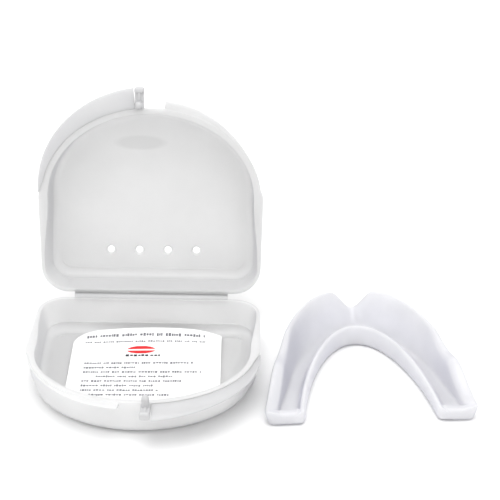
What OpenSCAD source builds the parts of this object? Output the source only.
// Mouthguard with a two-shell clamshell case, a living hinge and a paper insert card.
// Millimetres, +Z up. The origin is the centre of the tray's flat underside, the hinge is at +Y
// and the finger flanges are at -Y. The case stands open and the mouthguard lies beside it.
// Both shells have one shape: the lid is the tray turned half a turn, so that on the closed case
// each broad flange lies over the other shell's narrow one.

/* [Case] */
// Width of each shell across its widest part
case_w = 82; // [76:1:90]
// Length of each shell from the hinge wall to the front of the arch
case_l = 69.7; // [66:0.1:76]
// Height of one shell, so half the closed case
shell_h = 13.9; // [12:0.1:18]
// Thickness of the moulded walls and floor
wall = 1.3; // [1:0.1:2]
// Radius of the two corners beside the hinge
corner_r = 10; // [8:0.5:12]
// How far the broad finger flange stands out in front of the shell
flange_reach = 6.2; // [4:0.1:8]
// Opening angle of the lid, 0 closed and 180 flat
lid_open = 105; // [60:1:180]

/* [Mouthguard] */
// Width across the two rear ends
guard_w = 74.2; // [68:0.1:76]
// Length from the rear ends to the front
guard_l = 67.1; // [60:0.1:68]
// Height of the outer wall at the front
guard_h = 14; // [13:0.1:18]
// Turn of the mouthguard on the table
guard_turn = 4.5; // [0:0.5:10]

/* [Card] */
// Width of the insert card
card_w = 54; // [40:1:54]
// Length of the insert card
card_l = 45; // [30:1:45]

/* [Hidden] */
$fn = 48;

// --- Case outline: straight hinge wall, straight sides, half an ellipse in front ---
half_w = case_w / 2;
hinge_half_w = half_w - 0.7;      // the sides spread a little towards the arch
wall_y = case_l / 2;              // outer face of the hinge wall
arch_y = wall_y - 35.4;           // where the sides end and the arch begins
arch_b = case_l - 35.4;           // depth of the arch
corner_steps = 6;
side_steps = 6;
arch_steps = 44;

// --- Section of a shell: a drafted wall on a rounded bottom edge ---
bottom_inset = 5.6;               // flat underside starts this far inside the outline at the hinge
bottom_r = 4.2;                   // outside radius of the bottom edge
inner_r = bottom_r - wall;        // inside radius of the bottom edge
lip_outer = 1.25;                 // outer face of the front wall at the rim, in from the outline
lip_inner = 3.5;                  // inner edge of the broad front lip, in from the outline
rim_gap = 0.05;                   // half the gap between the two closed lips

// --- Closure: broad flange and post on +X, narrow flange on -X, a gap for the other shell's post ---
flange_z = [shell_h - 1.25, shell_h - 0.35];
post_x = [2.1, 5.6];
narrow_end_x = -5.4;              // the narrow flange ends here, clear of the other shell's pin
ledge_start = [0.8, 25];          // narrow flange at the side: edge in from the outline, arch angle
ledge_full = [-1.5, 75];          // narrow flange at its broadest, out past the outline
cap_l = 2;                        // raised end of the post block
cap_rise = 0.8;                   // top of the raised end above the parting plane
pin_r = 1.3;
pin_rise = 4.2;                   // top of the pin above the parting plane
pin_gap = 0.15;                   // clearance between a pin and the other shell's wall
post_foot_z = shell_h - 2;

// --- Living hinge: a strip that folds along two lines ---
hinge_half_l = 28.25;
fold_half = 1;                    // half the distance between the two fold lines
fold_y = wall_y + 0.75;           // fold line behind the hinge wall
fold_z = shell_h - fold_half;
web_t = 0.5;
strip_angle = (180 - lid_open) / 2;

// --- Vent holes in the lid, near the hinge ---
vent_r = 1.6;
vent_x = [-16, -5.35, 5.35, 16];
vent_y = 21.7;

// --- Card ---
card_t = 0.35;
card_z = wall + 0.05;
card_back_y = 29;
card_cut = [5, 8.6];              // bent corner at the back left

// --- Mouthguard: a channel swept along a dental arch, open side up ---
guard_at = [75.4, 26.1];          // apex of the inner arch on the table
guard_leg_y = -49.5;              // rear ends, behind the apex
guard_in_w = 22.4;                // half-width inside the rear ends
guard_steps = 72;                 // sections along the arch
floor_t = 3;
dam_h = 4.6;                      // low wall that closes each rear end of the channel
dam_angle = 8;                    // the dam takes this much of the arch angle
inner_wall_h = [5.2, 8];          // inner wall at the rear ends and at the front
molar_h = [6, 12.5];              // outer wall at the rear ends and behind the canines
dip_at = 0.81;                    // shallow dip for the cheek frenum, as a share of the half-width
dip_depth = 1.8;
notch_depth = 7;                  // notch for the lip frenum
notch_half = 9;
flare = [0.9, 2.4];               // lean of the outer wall at the rear ends and at the front

function lerp(a, b, t) = a + (b - a) * t;
function smooth(t) = let (c = min(1, max(0, t))) c * c * (3 - 2 * c);

// A point on the outline: x, y, outward normal, wall weight and lip weight (0 at the hinge, 1 in front)
function arch_point(t) =
    let (n = [cos(t) / half_w, -sin(t) / arch_b], u = n / norm(n))
    [half_w * cos(t), arch_y - arch_b * sin(t), u[0], u[1], 1, smooth(sin(t) / 0.2)];
function side_point(t, s) =
    [s * lerp(hinge_half_w, half_w, t), lerp(wall_y - corner_r, arch_y, t), s, 0, smooth(t), 0];
function corner_point(t, s) =
    [s * (hinge_half_w - corner_r + corner_r * cos(t)), wall_y - corner_r + corner_r * sin(t),
     s * cos(t), sin(t), 0, 0];

// The whole outline, counter-clockwise seen from above
outline = concat(
    [for (i = [0 : corner_steps]) corner_point(90 - 90 * i / corner_steps, -1)],
    [for (i = [1 : side_steps - 1]) side_point(i / side_steps, -1)],
    [for (i = [0 : arch_steps]) arch_point(180 - 180 * i / arch_steps)],
    [for (i = [1 : side_steps - 1]) side_point(1 - i / side_steps, 1)],
    [for (i = [0 : corner_steps]) corner_point(90 * i / corner_steps, 1)]
);

// Ring of the outline at height z, inset by one amount at the hinge and another in front
function ring(z, hinge_in, front_in) =
    [for (q = outline)
        let (d = lerp(hinge_in, front_in, q[5]))
        [q[0] - d * q[2], q[1] - d * q[3], z]];
function inner_ring(z, hinge_in, front_in) =
    [for (q = outline)
        let (d = lerp(hinge_in, front_in, q[4]))
        [q[0] - d * q[2], q[1] - d * q[3], z]];

// Closed solid through a stack of rings, lowest first
module loft(rings) {
    n = len(rings[0]);
    last = (len(rings) - 1) * n;
    points = [for (r = rings, p = r) p];
    sides = [for (i = [0 : len(rings) - 2], j = [0 : n - 1], half = [0, 1])
        let (a = i * n + j, b = i * n + (j + 1) % n)
        half == 0 ? [a, a + n, b + n] : [a, b + n, b]];
    low = [[for (j = [0 : n - 1]) j]];
    top = [[for (j = [n - 1 : -1 : 0]) last + j]];
    polyhedron(points, concat(sides, low, top));
}

// Outside of a shell: rounded bottom edge and drafted wall
module shell_outside() {
    bottom = [for (a = [0 : 15 : 90])
        let (d = bottom_inset - bottom_r * sin(a))
        ring(bottom_r - bottom_r * cos(a), d, d + lip_outer)];
    loft(concat(bottom, [ring(shell_h - rim_gap, 0, lip_outer)]));
}

// Space inside a shell, thin-walled at the hinge and with a broad lip in front
module shell_inside() {
    bottom = [for (a = [0 : 18 : 90])
        let (d = bottom_inset - inner_r * sin(a))
        inner_ring(wall + inner_r * (1 - cos(a)), d, d + lip_outer)];
    loft(concat(bottom, [inner_ring(shell_h + 1, wall, lip_inner)]));
}

// Leaf on the hinge wall that carries one fold line
module hinge_leaf() {
    translate([-hinge_half_l, wall_y - 1, fold_z - 0.3])
        cube([2 * hinge_half_l, fold_y - wall_y + 1 - web_t / 2 - 0.03, 0.6]);
}

module shell() {
    difference() {
        union() {
            shell_outside();
            hinge_leaf();
            narrow_flange();
        }
        shell_inside();
    }
}

// Crescent at the rim between two arch angles; its edge is edge_in(t) in from the outline
module crescent(edge, inner_in) {
    outer = [for (e = edge) let (q = arch_point(e[0])) [q[0] - e[1] * q[2], q[1] - e[1] * q[3]]];
    inner = [for (i = [len(edge) - 1 : -1 : 0])
        let (q = arch_point(edge[i][0])) [q[0] - inner_in * q[2], q[1] - inner_in * q[3]]];
    translate([0, 0, flange_z[0]])
        linear_extrude(flange_z[1] - flange_z[0]) polygon(concat(outer, inner));
}

// Narrow flange on the -X half of the arch, up to the gap
module narrow_flange() {
    last = acos(narrow_end_x / half_w);
    steps = 24;
    crescent([for (i = [0 : steps])
        let (t = lerp(178, last, i / steps),
             f = smooth((180 - t - ledge_start[1]) / (ledge_full[1] - ledge_start[1])))
        [t, lerp(ledge_start[0], ledge_full[0], f)]], 2.5);
}

// Broad finger flange on the +X half of the arch
module flange() {
    first = acos(post_x[1] / half_w);
    steps = 24;
    difference() {
        crescent([for (i = [0 : steps])
            let (t = lerp(first, 3, i / steps)) [t, -flange_reach * pow(sin(t), 1.25)]], 2.5);
        shell_outside();
        post_block();
    }
}

// Block at the end of the broad flange, with a raised cap at its outer end
module post_block() {
    front_y = arch_y - arch_b;
    width = post_x[1] - post_x[0];
    translate([post_x[0], front_y - flange_reach, post_foot_z]) {
        cube([width, flange_reach + lip_outer + 0.5, flange_z[1] + 0.2 - post_foot_z]);
        cube([width, cap_l, shell_h + cap_rise - post_foot_z]);
    }
}

// The post: its block and the round snap pin that rises past the parting plane
module latch_post() {
    front_y = arch_y - arch_b;
    pin_at = [(post_x[0] + post_x[1]) / 2, front_y + lip_outer - pin_gap - pin_r];
    straight_top = shell_h + pin_rise - pin_r;
    difference() {
        union() {
            post_block();
            translate([pin_at[0], pin_at[1], post_foot_z])
                cylinder(r = pin_r, h = straight_top - post_foot_z);
            translate([pin_at[0], pin_at[1], straight_top]) sphere(r = pin_r);
        }
        shell_outside();
    }
}

// From the tray's place to the lid's place at its opening angle
module to_lid() {
    translate([0, fold_y + 2 * fold_half * cos(strip_angle), fold_z + 2 * fold_half * sin(strip_angle)])
        rotate([2 * strip_angle, 0, 0])
            rotate([0, 0, 180])
                translate([0, -fold_y, -fold_z])
                    children();
}

module base_tray() {
    color("gainsboro") shell();
}

module base_finger_flange() {
    color("lightgray") flange();
}

module base_latch_post() {
    color("whitesmoke") latch_post();
}

module living_hinge() {
    color("white")
        translate([0, fold_y, fold_z])
            rotate([strip_angle, 0, 0])
                translate([-hinge_half_l, 0, 0]) {
                    translate([0, 0, -web_t / 2]) cube([2 * hinge_half_l, 2 * fold_half, web_t]);
                    for (y = [0, 2 * fold_half])
                        translate([0, y, 0])
                            rotate([0, 90, 0]) cylinder(r = web_t / 2, h = 2 * hinge_half_l);
                }
}

module lid_cover() {
    color("gainsboro")
        to_lid()
            difference() {
                shell();
                for (x = vent_x)
                    translate([x, vent_y, -1]) cylinder(r = vent_r, h = wall + 2);
            }
}

module lid_finger_flange() {
    color("lightgray") to_lid() flange();
}

module lid_latch_post() {
    color("whitesmoke") to_lid() latch_post();
}

module insert_card() {
    x = card_w / 2;
    front = card_back_y - card_l;
    color("white")
        translate([0, 0, card_z])
            linear_extrude(card_t)
                polygon([[-x, front], [x, front], [x, card_back_y], [card_cut[0] - x, card_back_y],
                         [-x, card_back_y - card_cut[1]]]);
}

// Height of the outer wall where it stands at u, a share of its half-width
function outer_wall_h(u) =
    let (molar = lerp(molar_h[1], molar_h[0], smooth((u - 0.86) / 0.14)),
         side = lerp(guard_h, molar, smooth((u - 0.74) / 0.12)),
         dip = dip_depth * (1 - smooth(abs(u - dip_at) / 0.09)),
         notch = notch_depth * (1 - smooth(u * guard_w / 2 / notch_half)))
    side - dip - notch;

// Section at angle t along the arch, from the inner foot over both walls to the outer foot
function guard_section(t) =
    let (s = pow(sin(t), 1.45),
         u = pow(abs(cos(t)), 0.9),
         a = [guard_in_w * cos(t), guard_leg_y - guard_leg_y * s],
         b = [sign(cos(t)) * guard_w / 2 * u, guard_leg_y + guard_l * (1 - pow(u, 2.8))],
         w = norm(b - a),
         dir = (b - a) / w,
         foot = w - lerp(flare[0], flare[1], s),
         hi = lerp(inner_wall_h[0], inner_wall_h[1], smooth(s)),
         ho = outer_wall_h(u),
         f = min(t, 180 - t) < dam_angle ? dam_h : floor_t,
         profile = [[0.9, 0], [0, 0.9], [0, hi - 0.8], [0.7, hi], [1.8, hi], [2.4, hi - 0.3],
                    [2.8, min(f + 0.8, hi - 0.35)], [3.6, f], [foot - 4.4, f],
                    [foot - 3.2, f + 0.5], [w - 2.2, ho - 0.8], [w - 1.5, ho],
                    [w - 0.6, ho - 0.1], [w, ho - 0.9], [foot, 1.2], [foot - 1, 0]])
    [for (p = profile) [a[0] + dir[0] * p[0], a[1] + dir[1] * p[0], p[1]]];

module mouthguard() {
    sections = [for (i = [0 : guard_steps]) guard_section(180 * i / guard_steps)];
    color("lavender")
        translate([guard_at[0], guard_at[1], 0])
            rotate([0, 0, guard_turn])
                loft(sections);
}

base_tray();
base_finger_flange();
base_latch_post();
living_hinge();
lid_cover();
lid_finger_flange();
lid_latch_post();
insert_card();
mouthguard();
